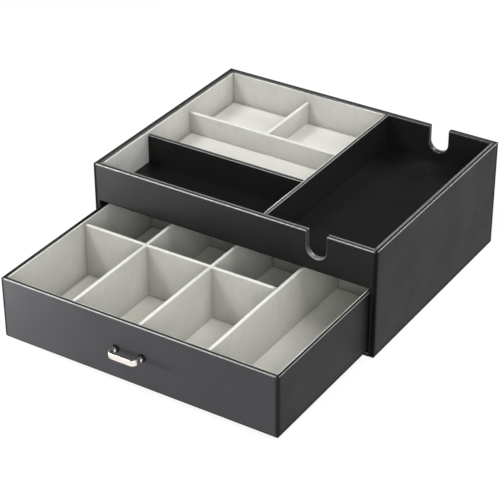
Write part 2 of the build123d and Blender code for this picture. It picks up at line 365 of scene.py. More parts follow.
def edge_line(start, end, radius, cuts):
    """The line one edge radius inside a wall's edge, straight but for its cuts.

    Each cut is its middle, half width, depth, corner and mouth.
    """
    parts = [np.array([[place], [place], [radius], [0], [-1]]) for place in (start, end)]
    for middle, half_width, depth, corner, mouth in cuts:
        left = cut_side(half_width, depth, corner, radius, mouth)
        right = left[:, ::-1] * np.array([[-1], [-1], [1], [-1], [1]])
        shift = np.array([[middle], [middle], [0], [0], [0]])
        parts += [left + shift, right + shift]
    line = np.concatenate(parts, axis=1)
    _, first = np.unique(np.round(line[0] / WELD), return_index=True)
    return line[:, first]


def read_line(line, times):
    """Across, depth and unit normal of an edge line at these times, each as a column."""
    across, depth, normal_across, normal_depth = (np.interp(times, line[0], row) for row in line[1:])
    size = np.hypot(normal_across, normal_depth)
    return [value[:, None] for value in (across, depth, normal_across / size, normal_depth / size)]


def rim_profile(depth, thickness, crown):
    """How far a wall's top lies under its highest line, how deep in its crease, and how much on its inner band.

    All go by the depth from the wall's outer face. The top falls from a ridge by the square of the distance, less
    outwards than inwards. The crease is a bell curve near the outer edge, and the band begins behind it. The
    crease also carries painted shade, and the band a painted highlight.
    """
    place = depth / thickness
    outer = limited((RIDGE - place) / RIDGE)
    inner = limited((place - RIDGE) / (1 - RIDGE))
    crease_and_painted_shade = bell(place, CREASE_PLACE, CREASE_WIDTH)
    sink = crown * (0.6 * outer ** 2 + inner ** 2 + 0.55 * crease_and_painted_shade)
    return sink, crease_and_painted_shade, limited((place - BAND_START) / BAND_RISE)


def section_ring(height_steps, thickness, radius, crown, painted_highlight):
    """The closed section of a wall, from its lower edge up one face, over its top and down the other.

    Each row has the place between the lower and the upper line, how far the point lies out along the lower and the
    upper line's normal and towards its face, in edge radii, whether it belongs to the far face, and its marks.
    """
    turn = np.linspace(0, np.pi / 2, BEND)
    guard = 0.016
    rise = np.concatenate([[guard], np.linspace(0.04, 0.96, height_steps), [1 - guard]])
    top = np.linspace(0, 1 - thickness / 2 / radius, 11)[1:]
    zeros = np.zeros(BEND)
    up = np.concatenate([zeros, rise, zeros + 1, 0 * top + 1])
    lower = np.concatenate([np.cos(turn), 0 * rise, zeros, 0 * top])
    upper = np.concatenate([zeros, 0 * rise, np.cos(turn[::-1]), 0 * top + 1])
    face = np.concatenate([np.sin(turn), 0 * rise + 1, np.sin(turn[::-1]), top])
    near = np.stack([up, lower, upper, face, 0 * up])
    far = near[:, ::-1].copy()
    far[4] = 1
    up, lower, upper, face, far = np.concatenate([near, far], axis=1)
    at_top = (up == 1) & (lower == 0)
    depth = radius * (1 - face)
    sink, crease_and_painted_shade, band = rim_profile(np.where(far == 1, thickness - depth, depth), thickness, crown)
    upper = upper - np.where(at_top, sink / radius, 0)
    side = limited(face)
    bent = limited(2.2 * side * np.sqrt(1 - side ** 2))
    crease_and_painted_shade = np.where(crown > 0, crease_and_painted_shade, 0)
    upright = 1 - side ** 4
    # The marks: a painted highlight on the rounded edges and the inner band of the top, the top itself, and
    # painted shade in the top's crease and along the lower rounded edges
    outer_edge = bent * painted_highlight[0] + band * painted_highlight[1]
    inner_edge = np.maximum(bent, band * upright) * painted_highlight[1]
    edge, rim = np.where(far == 1, inner_edge, outer_edge) * at_top, limited(2 * upright) * at_top
    return up, lower, upper, face, far, edge, rim, np.where(at_top, crease_and_painted_shade, bent)


def wall(
        start, end, low, high, thickness, radius, seam, top_cuts=(), bottom_cuts=(), step=4 * MM, rows=28,
        crown=0.0, painted_highlight=(1.0, 1.0), stops=()):
    """A plate with rounded edges all round, a crowned top and cuts in its upper or lower edge.

    A closed section is carried along the plate. At each time it joins the points that the lower and the upper
    edge line have then, and it turns round each of them with the edge radius, towards the line's normal. At the
    two ends the radius falls as the cosine of an angle while the section moves out as its sine.
    Returns the places across, in depth from the near face and in height, with the quads and the marks.
    """
    first, last = start + seam, end - seam
    top, bottom = (edge_line(first, last, radius, cuts) for cuts in (top_cuts, bottom_cuts))
    near_end = np.linspace(0, SEAM_SHADE, 9)
    even = np.linspace(first, last, int((end - start) / step) + 1)
    times = np.concatenate([top[0], bottom[0], first + near_end, even, last - near_end, stops])
    times = np.unique(np.round(times / WELD) * WELD)
    cap = np.linspace(CAP, 0, CAP_STEPS + 1)[:-1]
    lean = np.concatenate([-cap, 0 * times, cap[::-1]])[:, None]
    held = np.pad(times, CAP_STEPS, mode="edge")
    turning = radius * np.cos(lean)
    low_x, low_z, low_nx, low_nz = read_line(bottom, held)
    top_x, top_z, top_nx, top_nz = read_line(top, held)
    up, lower, upper, face, far, *marks = section_ring(rows, thickness, radius, crown, painted_highlight)
    down = 1 - up
    across = down * low_x + up * top_x + turning * (lower * low_nx + upper * top_nx) + seam * np.sin(lean)
    height = down * (low + low_z) + up * (high - top_z) + turning * (lower * low_nz - upper * top_nz)
    depth = radius - turning * face
    depth = np.where(far == 1, thickness - depth, depth)

    edge, rim, crease_and_painted_shade = (value * turning / radius for value in marks)
    upright = top_nz ** 2
    uncut = limited(1 - (top_z - radius) / (2 * MM))
    # Less painted highlight, rim gloss and painted rim shade where the edge line isn't level, and no painted
    # highlight at the end seams of a wall
    edge = np.maximum(edge, (1 - uncut) * rim * painted_highlight[1]) * (0.2 + 0.8 * upright)
    rim = rim * (0.4 + 0.6 * upright)
    # Painted shade at the end seams and along the lower edge, on top of the crease's
    from_end = np.minimum(held - start, end - held)[:, None] - seam
    by_seam = limited(1.35 - from_end / SEAM_SHADE)
    by_foot = limited(1.3 - (height - (low + low_z - radius)) / LOW_EDGE)
    crease_and_painted_shade = np.maximum(np.maximum(crease_and_painted_shade * np.where(up == 1, uncut, 1), by_foot), by_seam)
    if crown > 0:
        edge = edge * (1 - by_seam)
        groove = GROOVE * bell(from_end, SEAM_SHADE / 2, SEAM_SHADE / 4)
        depth = depth + np.where(far == 1, 0, groove * (face > 0.99))
    marks = np.stack([edge, rim, crease_and_painted_shade], axis=-1).reshape(-1, 3)
    return across.ravel(), depth.ravel(), height.ravel(), tube_quads(*across.shape), marks


def wall_crown(thickness):
    """The crown of a wall's top: as stated for a casing wall, and in proportion for a thinner one."""
    return shape().rim_crown * min(1.0, thickness / CASE_WALL)


def crowned(surface, low, high, thin, outer, painted_highlight):
    """A block whose top sinks by the rim's profile. The outer side is low (-1) or high (1) along the thin axis."""
    points, quads, marks = surface
    thickness = high[thin] - low[thin]
    depth = points[:, thin] - low[thin] if outer < 0 else high[thin] - points[:, thin]
    sink, crease_and_painted_shade, band = rim_profile(depth, thickness, wall_crown(thickness))
    points[:, Z] -= sink * limited((points[:, Z] - high[Z] + 3 * MM) / (1.5 * MM))
    # The inner band of the top gets a painted highlight, and the crease painted shade
    inner = np.maximum(marks[:, EDGE], marks[:, RIM]) * band * painted_highlight[1]
    marks[:, EDGE] = np.where(depth < thickness / 2, marks[:, EDGE] * painted_highlight[0] + inner, inner)
    paint_shade(marks, crease_and_painted_shade * marks[:, RIM])
    return points, quads, marks


def side_wall(name, front, back, end_board):
    """The leather of a side wall, as a rounded block mitred between a front and a back wall.

    Its length shrinks towards the inside of the box: by the slant at the place x, in proportion to the distance
    from its middle.
    """
    bend = shape().wrap_round
    low, high = box(name + "_cover")
    front_low, front_high = box(front + "_cover")
    board_low, board_high = box(end_board)
    thickness, half = high[X] - low[X], front_high[X]
    end_thickness = board_high[Y] - board_low[Y] + 2 * (board_low[Y] - front_low[Y])
    low[Y], high[Y] = front_low[Y] + bend, box(back + "_cover")[1][Y] - bend
    block = rounded_block(low, high, (bend, shape().seam_round, bend), fine=X)
    points, quads, marks = crowned(block, low, high, X, np.sign(low[X]), PAINTED_HIGHLIGHT[name])
    # Painted shade along the lower edge and at the two ends
    from_end = np.minimum(points[:, Y] - low[Y], high[Y] - points[:, Y])
    paint_shade(marks, 1.3 - np.minimum(points[:, Z] - low[Z], 2 * from_end) / LOW_EDGE)
    slant = (end_thickness - bend - TUCK) * limited((half - np.abs(points[:, X])) / thickness)
    middle, reach = (low[Y] + high[Y]) / 2, (high[Y] - low[Y]) / 2
    points[:, Y] -= (points[:, Y] - middle) / reach * slant
    return points, quads, marks


def end_wall(
        name, board, side, way, top_cuts=(), bottom_cuts=(), rows=28, fold=0.0, seed=0, outer_fold=0.0):
    """The leather of a front (way 1) or back (way -1) wall: a plate whose ends cover the side walls.

    It is mitred behind: beyond the inner width, the part behind the edge radius shrinks evenly to nothing. The
    folds round its notch are fold high on its inner face, and the share outer_fold of that on its outer face.
    """
    bend = shape().wrap_round
    low, high = box(name + "_cover")
    board_low, board_high = box(board)
    side_low, side_high = box(side + "_cover")
    half, inner = high[X], high[X] - (side_high[X] - side_low[X])
    face, skin = (low[Y], board_low[Y] - low[Y]) if way > 0 else (high[Y], high[Y] - board_high[Y])
    thickness = board_high[Y] - board_low[Y] + 2 * skin
    across, depth, height, quads, marks = wall(
        -half, half, low[Z], high[Z], thickness, bend, shape().seam_round, top_cuts, bottom_cuts, rows=rows,
        crown=wall_crown(thickness), painted_highlight=PAINTED_HIGHLIGHT[name], stops=(-inner, inner))
    beyond = np.clip((np.abs(across) - inner) / (half - inner), 0, 0.97)
    depth = np.where(depth > bend, bend + (depth - bend) * (1 - beyond), depth)
    if fold:
        folds = puckers(across, height, high[Z], fold, seed)
        depth = depth + np.where(depth > 2 * MM, folds, -outer_fold * folds)
    return np.stack([across, face + way * depth, height], axis=1), quads, marks


def notch_cut():
    """The cable notch in the front and the back wall, at the middle of the phone tray."""
    values = shape()
    pad_low, pad_high = box("phone_tray_pad")
    half = values.notch_width / 2
    return (pad_low[X] + pad_high[X]) / 2, half, values.notch_depth, half, values.notch_mouth


def puckers(across, height, rim, fold, seed):
    """How far the leather stands up round the notch's bottom.

    Folds run out from the notch like rays: the cosine of a multiple of the angle, dying away with the distance.
    """
    middle, half, depth, _, _ = notch_cut()
    centre = rim - depth + half
    aside, below = across - middle, np.minimum(height - centre, 0)
    distance = np.hypot(aside, below) - half
    angles = np.arctan2(aside, -below + 1e-6)
    random = np.random.default_rng(seed)
    ray = np.cos(FOLDS * angles + random.uniform(0, 6)) + 0.6 * np.cos(FINER_FOLDS * angles + random.uniform(0, 6))
    fade = np.exp(-np.maximum(distance - MM, 0) / FOLD_REACH) * limited(distance / (1.5 * MM))
    return fold * ray * fade * limited((centre + 3 * MM - height) / (6 * MM))


# Shader nodes


def node(tree, kind, inputs=None, **settings):
    """Adds a node. An input that is given a socket is linked to it, and any other is set."""
    made = tree.nodes.new(kind)
    for name, value in settings.items():
        setattr(made, name, value)
    for name, value in (inputs or {}).items():
        if isinstance(value, bpy.types.NodeSocket):
            tree.links.new(value, made.inputs[name])
        else:
            made.inputs[name].default_value = value
    return made


def feed(tree, sockets, values):
    """Links each value to the socket of its name."""
    for name, value in values.items():
        tree.links.new(value, sockets[name])


def maths(tree, operation, *values):
    """The result of a Math node."""
    return node(tree, "ShaderNodeMath", dict(enumerate(values)), operation=operation).outputs[0]


def product(tree, first, second):
    """The product of two values."""
    return maths(tree, "MULTIPLY", first, second)


def added(tree, value, *parts):
    """A value with others added in turn, each times its weight."""
    for part, weight in parts:
        value = maths(tree, "MULTIPLY_ADD", part, weight, value)
    return value


def ramp(tree, value, low, high, start=0.0, end=1.0):
    """A value carried smoothly from start to end as it goes from low to high."""
    inputs = {"Value": value, "From Min": low, "From Max": high, "To Min": start, "To Max": end}
    return node(tree, "ShaderNodeMapRange", inputs, interpolation_type="SMOOTHSTEP").outputs[0]


def layered(tree, base, *layers):
    """A colour with layers laid on it in turn. A layer is how much it covers of what is below, and its colour."""
    for cover, tint in layers:
        base = node(tree, "ShaderNodeMix", {0: cover, 6: base, 7: tint}, data_type="RGBA").outputs[2]
    return base


def noise(tree, place, scale, detail=3.0, roughness=0.5):
    """Noise from 0 to 1 with this many lumps in a metre."""
    inputs = {"Vector": place, "Scale": scale, "Detail": detail, "Roughness": roughness}
    return node(tree, "ShaderNodeTexNoise", inputs).outputs["Fac"]


def own_place(tree):
    """Coordinates in the piece's own frame, in metres."""
    return node(tree, "ShaderNodeTexCoord").outputs["Object"]


def rgba(value, factor=1.0):
    """A colour for a socket, made lighter or darker by a factor."""
    return (*[min(1.0, channel * factor) for channel in value], 1.0)


def grain_group(tree, given):
    """Leather grain: pebbles with creases between them, on a soft unevenness, and a slow change of tone."""
    place = own_place(tree)
    warp = node(tree, "ShaderNodeTexNoise", {"Vector": place, "Scale": 700.0, "Detail": 2.0}).outputs["Color"]
    shift = node(tree, "ShaderNodeVectorMath", {0: warp, 1: (0.6 * MM,) * 3}, operation="MULTIPLY").outputs[0]
    moved = node(tree, "ShaderNodeVectorMath", {0: place, 1: shift}, operation="ADD").outputs[0]
    cells = node(
        tree, "ShaderNodeTexVoronoi", {"Vector": moved, "Scale": given["Grain Scale"]},
        feature="DISTANCE_TO_EDGE").outputs["Distance"]
    pebble = ramp(tree, cells, 0.0, 0.22)
    fine, soft = noise(tree, place, 5200.0, 2.0), noise(tree, place, 75.0, 2.0)
    return {
        "Height": added(tree, 0.0, (pebble, 0.6), (fine, 0.4)),
        "Tone": added(tree, 0.0, (pebble, 0.5), (soft, 0.5)),
        "Slow": noise(tree, place, 26.0, 3.0, 0.6)}


def nap_group(tree, given):
    """Suede: a short nap with brushed streaks where it lies another way, and the fine dots of its fibres."""
    place = own_place(tree)
    fibres, patches = noise(tree, place, given["Nap Scale"], 3.0, 0.7), noise(tree, place, 60.0, 3.0, 0.6)
    drawn_out = node(tree, "ShaderNodeMapping", {"Vector": place, "Scale": (1.0, 1.0, 0.35)}).outputs[0]
    return {
        "Height": fibres,
        "Tone": added(tree, 0.0, (fibres, 0.5), (patches, 0.5)),
        "Streaks": noise(tree, drawn_out, 230.0, 4.0, 0.65)}


def wear_and_painted_light_group(tree, given):
    """Marks of a wall's top: a painted highlight on its edges broken up by noise, the rim's coat gloss with a
    painted tone that darkens leather and lightens suede, and painted shade in creases, seams, corners and lower
    edges. On nickel the edge mask is wear.
    """
    edge, rim, crease_and_painted_shade = (
        node(tree, "ShaderNodeAttribute", attribute_name=label).outputs["Fac"] for label in MARKS)
    broken = noise(tree, own_place(tree), 420.0, 4.0, 0.65)
    open_rim = product(tree, rim, maths(tree, "SUBTRACT", 1.0, crease_and_painted_shade))
    return {
        "Mask": product(tree, product(tree, edge, ramp(tree, broken, 0.3, 0.65, 0.65, 1.0)), given["Amount"]),
        "Polish": product(tree, open_rim, ramp(tree, broken, 0.2, 0.7, 0.8, 1.0)),
        "Painted Shade": crease_and_painted_shade}


def smudge_group(tree, given):
    """Touch marks and dust: soft patches with a fine speckle on them."""
    place = own_place(tree)
    patches = noise(tree, place, given["Patch Scale"], 4.0, 0.6)
    speckle = noise(tree, place, given["Speckle Scale"], 2.0)
    return {"Mask": ramp(tree, patches, 0.4, 0.75), "Speckle": ramp(tree, speckle, 0.62, 0.78)}


# What makes each shared group, and its inputs with their usual values
GROUPS = {
    "Leather Grain": (grain_group, {"Grain Scale": 1300.0}),
    "Suede Nap": (nap_group, {"Nap Scale": 2800.0}),
    "Edge Wear And Painted Light": (wear_and_painted_light_group, {"Amount": 0.5}),
    "Smudges": (smudge_group, {"Patch Scale": 40.0, "Speckle Scale": 1500.0}),
}


def new_group(name):
    """A shared group: a node tree with named inputs and outputs."""
    build, inputs = GROUPS[name]
    tree = bpy.data.node_groups.new(name, "ShaderNodeTree")
    for label, default in inputs.items():
        socket = tree.interface.new_socket(label, in_out="INPUT", socket_type="NodeSocketFloat")
        socket.default_value = default
    results = build(tree, tree.nodes.new("NodeGroupInput").outputs)
    for label in results:
        tree.interface.new_socket(label, in_out="OUTPUT", socket_type="NodeSocketFloat")
    feed(tree, tree.nodes.new("NodeGroupOutput").inputs, results)
    return tree


def use_group(tree, name, inputs=None):
    """The outputs of a shared group placed in a material, made the first time it is needed."""
    made = tree.nodes.new("ShaderNodeGroup")
    made.node_tree = bpy.data.node_groups.get(name) or new_group(name)
    for label, value in (inputs or {}).items():
        made.inputs[label].default_value = value
    return made.outputs


def new_material(name, constants):
    """A new material whose Principled shader has its constants set, and its tree."""
    material = bpy.data.materials.new(name)
    material.use_nodes = True
    for label, value in constants.items():
        material.node_tree.nodes["Principled BSDF"].inputs[label].default_value = value
    return material, material.node_tree


def finished(material, tint, gloss, height, depth, more=None):
    """The material with its colour, its roughness and its bump fed. The height of 0 to 1 is worth this depth."""
    tree = material.node_tree
    bump = node(tree, "ShaderNodeBump", {"Height": height, "Distance": depth, "Strength": 1.0}).outputs[0]
    shader = tree.nodes["Principled BSDF"].inputs
    feed(tree, shader, {"Base Color": tint, "Roughness": gloss, "Normal": bump, **(more or {})})
    return material


def leather(name, base, painted_highlight_colour, roughness, ior, grain_size, highlight_amount):
    """Fine-grained coated leather with slow changes of tone and gloss, painted shade on the tops of walls and in
    creases, seams, corners and lower edges, and a painted highlight on the upper edges.
    """
    material, tree = new_material(name, {"IOR": ior, "Coat Roughness": 0.2, "Coat IOR": 1.5})
    grain = use_group(tree, "Leather Grain", {"Grain Scale": 1 / grain_size})
    edge_marks = use_group(tree, "Edge Wear And Painted Light", {"Amount": highlight_amount})
    smudges = use_group(tree, "Smudges")
    tint = layered(
        tree, rgba(base, 0.88),
        (ramp(tree, grain["Tone"], 0.2, 0.8), rgba(base, 1.1)),
        (ramp(tree, grain["Slow"], 0.3, 0.7, 0.0, 0.35), rgba(base, 1.25)),
        # Painted shade on the tops of walls, a painted highlight on their edges, and painted shade in creases,
        # seams, corners and lower edges
        (product(tree, edge_marks["Polish"], 0.8), rgba(base, 0.3)),
        (edge_marks["Mask"], rgba(painted_highlight_colour)),
        (product(tree, edge_marks["Painted Shade"], 0.95), rgba(base, 0.1)),
        (product(tree, smudges["Speckle"], 0.03), (0.2, 0.2, 0.19, 1.0)))
    gloss = ramp(tree, grain["Slow"], 0.25, 0.75, roughness - 0.03, roughness + 0.05)
    gloss = added(tree, gloss, (smudges["Mask"], -0.04), (edge_marks["Painted Shade"], 0.4))
    return finished(material, tint, gloss, grain["Height"], 0.03 * MM, {"Coat Weight": edge_marks["Polish"]})


def suede(name, base, nap_size):
    """Beige microsuede: matt, with a velvet edge and brushed streaks, a painted highlight on its tops and painted
    shade in its corners, near its sides and along its lower edges.
    """
    material, tree = new_material(name, {
        "Specular IOR Level": 0.12, "Sheen Weight": 0.35, "Sheen Roughness": 0.45, "Sheen Tint": rgba(base, 1.35)})
    nap = use_group(tree, "Suede Nap", {"Nap Scale": 1 / nap_size})
    edge_marks = use_group(tree, "Edge Wear And Painted Light")
    smudges = use_group(tree, "Smudges", {"Patch Scale": 30.0})
    tint = layered(
        tree, rgba(base, 0.90),
        (ramp(tree, nap["Tone"], 0.25, 0.75), rgba(base, 1.06)),
        (ramp(tree, nap["Streaks"], 0.35, 0.7, 0.0, 0.5), rgba(base, 1.08)),
        (product(tree, smudges["Mask"], 0.12), rgba(base, 0.82)),
        # A painted highlight on the tops, and painted shade in corners, near the sides and along the lower edges
        (product(tree, edge_marks["Polish"], 0.9), rgba(base, 1.45)),
        (product(tree, edge_marks["Painted Shade"], 0.6), rgba(base, 0.45)))
    gloss = ramp(tree, nap["Streaks"], 0.3, 0.7, 0.88, 0.98)
    return finished(material, tint, gloss, nap["Height"], 0.12 * MM)


def nickel(name, base, roughness):
    """Polished nickel plate with faint touch marks and edges that are rubbed a little duller."""
    material, tree = new_material(name, {"Metallic": 1.0})
    smudges = use_group(tree, "Smudges", {"Patch Scale": 220.0, "Speckle Scale": 2600.0})
    edge_marks = use_group(tree, "Edge Wear And Painted Light", {"Amount": 0.5})["Mask"]
    tint = layered(
        tree, rgba(base), (product(tree, smudges["Mask"], 0.25), rgba(base, 0.86)), (edge_marks, rgba(base, 1.06)))
    gloss = added(tree, roughness, (smudges["Speckle"], 0.06), (smudges["Mask"], 0.08), (edge_marks, 0.05))
    ripples = noise(tree, own_place(tree), 250.0, 2.0)
    return finished(material, tint, gloss, ripples, 0.002 * MM)


def fibre(name, dark, light, size, roughness, depth, sheen=0.0):
    """Felt, board or paper: two tones of fibres of this size, with a rough face."""
    material, tree = new_material(name, {"Specular IOR Level": 0.2, "Sheen Weight": sheen})
    smudges = use_group(tree, "Smudges", {"Patch Scale": 60.0, "Speckle Scale": 0.7 / size})
    strands = noise(tree, own_place(tree), 1 / size, 5.0, 0.7)
    tint = layered(
        tree, rgba(dark),
        (ramp(tree, strands, 0.35, 0.65), rgba(light)),
        (product(tree, smudges["Mask"], 0.3), rgba(dark)))
    gloss = ramp(tree, strands, 0.2, 0.8, roughness + 0.08, roughness - 0.06)
    return finished(material, tint, gloss, strands, depth)


def steel(name):
    """Plated screw steel with turning marks."""
    material, tree = new_material(name, {"Metallic": 1.0})
    marks = noise(tree, own_place(tree), 3000.0, 3.0)
    tint = layered(tree, (0.42, 0.42, 0.43, 1.0), (marks, (0.66, 0.66, 0.65, 1.0)))
    gloss = ramp(tree, marks, 0.2, 0.8, 0.28, 0.42)
    return finished(material, tint, gloss, marks, 0.006 * MM)


def finish(name):
    """A material by its name, made from the properties the first time it is needed."""
    values = bpy.context.scene.valet_box_finish
    edge, grain = values.painted_highlight_leather, values.grain_size
    recipes = {
        "Casing Leather": (leather, values.case_leather, edge, 0.54, 1.28, grain, values.painted_highlight_amount),
        # The drawer front's leather: the casing leather painted lighter, for the stronger light on the drawer
        # front
        "Drawer Leather": (leather, values.drawer_leather, edge, 0.50, 1.33, grain, values.painted_highlight_amount),
        "Pad Leather": (leather, values.pad_leather, edge, 0.55, 1.3, 0.9 * grain, 0.2),
        "Beige Suede": (suede, values.suede, values.nap_size),
        "Polished Nickel": (nickel, values.nickel, 0.26),
        # The collars' plate is painted near black, for the dark leather that they reflect
        "Black Nickel": (nickel, values.collar_nickel, 0.18),
        "Screw Steel": (steel,),
        "Black Felt": (fibre, (0.010, 0.010, 0.011), (0.036, 0.036, 0.038), 0.9 * MM, 0.9, 0.25 * MM, 0.3),
        "Pile Tape": (fibre, (0.012, 0.012, 0.012), (0.045, 0.045, 0.045), 0.35 * MM, 0.8, 0.15 * MM, 0.4),
        "Fibreboard": (fibre, (0.30, 0.21, 0.13), (0.46, 0.35, 0.23), 0.8 * MM, 0.85, 0.05 * MM),
        "Backing Paper": (fibre, (0.014, 0.014, 0.015), (0.026, 0.026, 0.027), 1.4 * MM, 0.72, 0.03 * MM),
    }
    make, *recipe = recipes[name]
    return bpy.data.materials.get(name) or make(name, *recipe)


def dress(material, *nodes):
    """Gives CAD nodes that stay in view their material."""
    for label in nodes:
        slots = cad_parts[label].data.materials
        slots.clear()
        slots.append(finish(material))


# Places that several pieces share


def box(name):
    """Lowest and highest corner of a CAD node as arrays."""
    low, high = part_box(name)
    return np.array(low), np.array(high)


def shape():
    """The box's sizes as the sidebar holds them."""
    return bpy.context.scene.valet_box_shape


class StageMaker(bpy.types.Operator):
    """Set the camera, the pale floor, the white surroundings and the soft lamps"""

    bl_idname = "valet_box.make_stage"
    bl_label = "Stage"

    def execute(self, context):
        values = context.scene.valet_box_stage
        self.aim_camera(context, values)
        self.lay_floor(context, values)
        self.light_world(context, values)
        self.hang_lamps(context)
        context.scene.view_settings.view_transform = "Standard"
        return {"FINISHED"}

    def aim_camera(self, context, values):
        """The camera stands back from its target along the direction that azimuth and elevation give."""
        turn, tilt = values.azimuth, values.elevation
        back = Vector((math.sin(turn) * math.cos(tilt), -math.cos(turn) * math.cos(tilt), math.sin(tilt)))
        right = Vector((math.cos(turn), math.sin(turn), 0.0))
        axes = Matrix((right, back.cross(right), back)).transposed().to_4x4()
        data = bpy.data.cameras.new("Camera")
        data.lens = values.lens
        data.sensor_width = 36.0
        data.clip_end = 20.0
        camera = bpy.data.objects.new("Camera", data)
        camera.matrix_world = (
            Matrix.Translation(Vector(values.target) + back * values.distance) @ axes
            @ Matrix.Rotation(values.roll, 4, "Z"))
        context.scene.collection.objects.link(camera)
        context.scene.camera = camera

    def lay_floor(self, context, values):
        """A flat sheet: pale to light, white to the eye but where the box shades it, and clear from below."""
        reach, level = 4.0, -0.1 * MM
        corners = [(x * reach, y * reach, level) for x, y in ((-1, -1), (1, -1), (1, 1), (-1, 1))]
        mesh = bpy.data.meshes.new("floor")
        mesh.from_pydata(corners, [], [(0, 1, 2, 3)])
        floor = bpy.data.objects.new("floor", mesh)
        context.scene.collection.objects.link(floor)
        material = bpy.data.materials.new("Floor")
        material.use_nodes = True
        tree = material.node_tree
        tree.nodes.remove(tree.nodes["Principled BSDF"])
        pale = node(tree, "ShaderNodeBsdfDiffuse", {"Color": rgba([values.floor_grey] * 3)}).outputs[0]
        dim = node(tree, "ShaderNodeBsdfDiffuse", {"Color": rgba([0.18] * 3)}).outputs[0]
        glow = node(tree, "ShaderNodeEmission", {"Color": rgba([1.0] * 3), "Strength": 0.87}).outputs[0]
        seen = node(tree, "ShaderNodeAddShader", {0: dim, 1: glow}).outputs[0]
        mixed = node(tree, "ShaderNodeMixShader", {0: seen_ray(tree), 1: pale, 2: seen}).outputs[0]
        clear = node(tree, "ShaderNodeBsdfTransparent").outputs[0]
        below = node(tree, "ShaderNodeNewGeometry").outputs["Backfacing"]
        sided = node(tree, "ShaderNodeMixShader", {0: below, 1: mixed, 2: clear}).outputs[0]
        feed(tree, tree.nodes["Material Output"].inputs, {"Surface": sided})
        mesh.materials.append(material)

    def light_world(self, context, values):
        """Surroundings that are white at the horizon and fall to a dim ceiling."""
        world = bpy.data.worlds.new("Surroundings")
        world.use_nodes = True
        tree = world.node_tree
        way = node(tree, "ShaderNodeTexCoord").outputs["Generated"]
        height = node(tree, "ShaderNodeSeparateXYZ", {0: way}).outputs["Z"]
        grey = ramp(tree, height, 0.04, 0.32, values.horizon_grey, values.ceiling_grey)
        feed(tree, tree.nodes["Background"].inputs, {"Color": grey})
        context.scene.world = world

    def hang_lamps(self, context):
        """Soft area lamps all round but for the back left, and a low one. Each has its place, side and watts."""
        middle = Vector((0.0, -0.07, 0.05))
        lamps = (
            ("right", (0.85, -0.05, 1.15), 0.8, 7.0),
            ("front_right", (0.80, -1.10, 0.70), 0.8, 8.0),
            ("front_left", (-0.75, -0.80, 1.20), 0.45, 11.5),
            ("back_right", (0.46, 1.06, 0.95), 0.55, 6.5),
            ("low_left", (-0.33, -0.38, 0.035), 0.06, 1.5),
        )
        for name, spot, side, power in lamps:
            data = bpy.data.lights.new(name, "AREA")
            data.size = side
            data.energy = power
            lamp = bpy.data.objects.new(name, data)
            lamp.location = spot
            lamp.visible_camera = False
            lamp.rotation_euler = (middle - Vector(spot)).to_track_quat("-Z", "Y").to_euler()
            context.scene.collection.objects.link(lamp)


def seen_ray(tree):
    """1 for rays that reach the eye straight, by a reflection or through glass, and 0 for other rays."""
    path = node(tree, "ShaderNodeLightPath").outputs
    either = maths(tree, "MAXIMUM", path["Is Camera Ray"], path["Is Glossy Ray"])
    return maths(tree, "MAXIMUM", either, path["Is Transmission Ray"])


class CasingWallsMaker(bpy.types.Operator):
    """Wrap the casing's walls: two sides, the fascia over the drawer's opening and the back, with their notches"""

    bl_idname = "valet_box.make_casing_walls"
    bl_label = "Casing Walls"

    def execute(self, context):
        for name in ("left_side", "right_side"):
            wrap(name, side_wall(name, "front", "back", "front_fascia_board"), "casing")
        low, high = box("front_cover")
        side_low, side_high = box("left_side_cover")
        board_low, _ = box("front_fascia_board")
        skin = board_low[Y] - low[Y]
        opening = (0.0, high[X] - (side_high[X] - side_low[X]), board_low[Z] - skin - low[Z], 5 * CORNER, MOUTH)
        notches, fold = [notch_cut()], shape().pucker
        front = end_wall(
            "front", "front_fascia_board", "left_side", 1, notches, [opening], fold=fold / 2, seed=3)
        wrap("front", front, "casing")
        back = end_wall(
            "back", "back_board", "left_side", -1, notches, rows=60, fold=fold, seed=8, outer_fold=0.3)
        wrap("back", back, "casing")
        return {"FINISHED"}


class BaseMaker(bpy.types.Operator):
    """Wrap the base's front edge, and finish the felt, the glide strips and the boards of the drawer's bay"""

    bl_idname = "valet_box.make_base"
    bl_label = "Base"

    def execute(self, context):
        wrap("base_edge", rounded_block(*box("base_edge_cover"), (0.3 * MM, 0.6 * MM, 0.45 * MM)), "casing")
        dress("Black Felt", "base_felt")
        dress("Pile Tape", "drawer_glide_strips")
        dress("Backing Paper", "base_board", "shelf_board")
        return {"FINISHED"}


class LeatherDividersMaker(bpy.types.Operator):
    """Wrap the partition beside the phone tray and the divider behind the glasses tray"""

    bl_idname = "valet_box.make_leather_dividers"
    bl_label = "Leather Dividers"

    def execute(self, context):
        for name, thin, outer in (("partition", X, 1), ("glasses_divider", Y, -1)):
            low, high = box(name + "_cover")
            radii = np.full(3, shape().wrap_round)
            radii[1 - thin] = 0.35 * MM
            block = rounded_block(low, high, radii, wave=0.05 * MM, seed=len(name), fine=thin)
            wrap(name, crowned(block, low, high, thin, outer, PAINTED_HIGHLIGHT[name]), "casing")
        return {"FINISHED"}


TRAY_LININGS = ("left_wall_lining", "partition_lining", "back_wall_lining", "tray_floor_lining")
TRAY_DIVIDERS = ("tray_cross_divider", "tray_short_divider")
DRAWER_LININGS = tuple(f"drawer_{side}_lining" for side in ("left", "right", "front", "back", "floor"))
LONG_DIVIDERS = tuple(f"drawer_long_divider_{number}" for number in (1, 2, 3))

# The painted shade in the corners of suede: its share, and the distance over which it falls by e
CORNER_SHADE = 0.8
CORNER_REACH = 8 * MM

# How far the soft faces of two dividers press into each other where they lap
PRESS = 1.0 * MM


